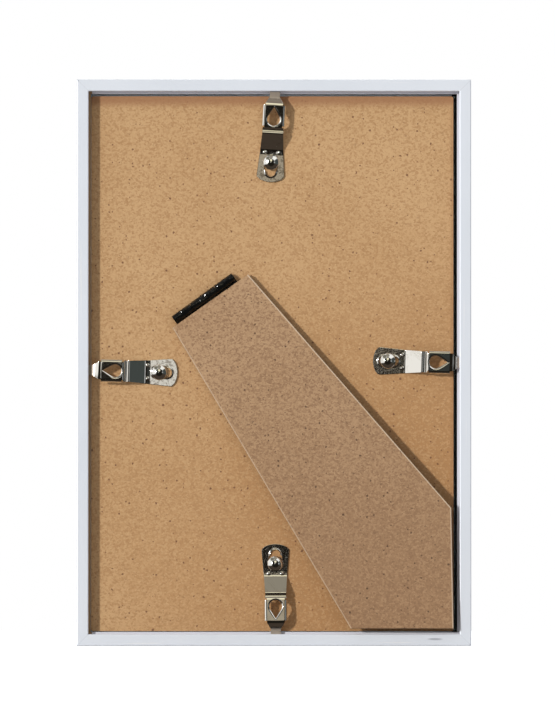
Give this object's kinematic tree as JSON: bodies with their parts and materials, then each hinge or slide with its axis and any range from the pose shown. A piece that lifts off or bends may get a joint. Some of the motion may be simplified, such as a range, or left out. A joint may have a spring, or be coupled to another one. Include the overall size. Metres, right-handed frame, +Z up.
{
  "type": "picture frame",
  "caption": "Slim metal picture frame with a hardboard back held by turning clips with teardrop hanging holes, and a slanted hinged strut for standing upright or sideways.",
  "frame": {"origin": "middle of the frame's underside, halfway through its depth", "axes": "+Z up, +Y out of the back of the frame, -Y out of the glass, +X to the right as seen from the front"},
  "size_m": [0.1106, 0.0129, 0.159],
  "materials": {
    "bar_level": "satin anodised, fine grain along the bar",
    "bar_upright": "satin anodised, fine grain along the bar",
    "corner_key": "plain, die cut",
    "glass": "clear, smooth",
    "insert_paper": "blank, matt",
    "back_hardboard": "brown hardboard, smooth side, fine dark specks",
    "strut_hardboard": "darker brown hardboard, fine fibres",
    "hinge_black": "glossy black",
    "pin_steel": "plain",
    "rivet_nickel": "bright nickel plate",
    "clip_nickel": "bright nickel plate on sheet steel"
  },
  "bodies": {
    "frame": {"frame_bar_bottom": "bar_level", "frame_bar_top": "bar_level", "frame_bar_left": "bar_upright", "frame_bar_right": "bar_upright", "corner_key_bottom_left": "corner_key", "corner_key_bottom_right": "corner_key", "corner_key_top_left": "corner_key", "corner_key_top_right": "corner_key", "glass_pane": "glass", "insert_sheet": "insert_paper", "back_board": "back_hardboard", "hinge_board_leaf": "hinge_black", "hinge_pin": "pin_steel"},
    "strut": {"strut_board": "strut_hardboard", "hinge_strut_leaf": "hinge_black"},
    "rivet_top": {"rivet_top": "rivet_nickel"},
    "clip_top": {"clip_top": "clip_nickel"},
    "rivet_bottom": {"rivet_bottom": "rivet_nickel"},
    "clip_bottom": {"clip_bottom": "clip_nickel"},
    "rivet_left": {"rivet_left": "rivet_nickel"},
    "clip_left": {"clip_left": "clip_nickel"},
    "rivet_right": {"rivet_right": "rivet_nickel"},
    "clip_right": {"clip_right": "clip_nickel"}
  },
  "joints": [
    {"name": "strut_hinge", "type": "hinge", "parent": "frame", "child": "strut", "pos_m": [0.0197, 0.00215, 0.0976], "axis": [0.809, 0, -0.5878], "range_deg": [-2.2, 32.8]},
    {"name": "clip_top_swivel", "type": "hinge", "parent": "frame", "child": "rivet_top", "pos_m": [0.0008, 0.0009, 0.13585], "axis": [0, 1, 0], "continuous": true},
    {"name": "clip_top_slide", "type": "slide", "parent": "rivet_top", "child": "clip_top", "axis": [-0.0558, 0, 0.9984], "range_m": [-0.0003, 0.0013]},
    {"name": "clip_bottom_swivel", "type": "hinge", "parent": "frame", "child": "rivet_bottom", "pos_m": [-0.0004, 0.0009, 0.02305], "axis": [0, 1, 0], "range_deg": [-160, 45]},
    {"name": "clip_bottom_slide", "type": "slide", "parent": "rivet_bottom", "child": "clip_bottom", "axis": [-0.007, 0, -1], "range_m": [-0.0003, 0.0012]},
    {"name": "clip_left_swivel", "type": "hinge", "parent": "frame", "child": "rivet_left", "pos_m": [-0.032, 0.0009, 0.08], "axis": [0, 1, 0], "range_deg": [-75, 160]},
    {"name": "clip_left_slide", "type": "slide", "parent": "rivet_left", "child": "clip_left", "axis": [-0.9996, 0, -0.0279], "range_m": [-0.0017, 0.00025]},
    {"name": "clip_right_swivel", "type": "hinge", "parent": "frame", "child": "rivet_right", "pos_m": [0.03225, 0.0009, 0.0768], "axis": [0, 1, 0], "range_deg": [-85, 140]},
    {"name": "clip_right_slide", "type": "slide", "parent": "rivet_right", "child": "clip_right", "axis": [0.9996, 0, 0.0297], "range_m": [-0.0007, 0.001]}
  ]
}
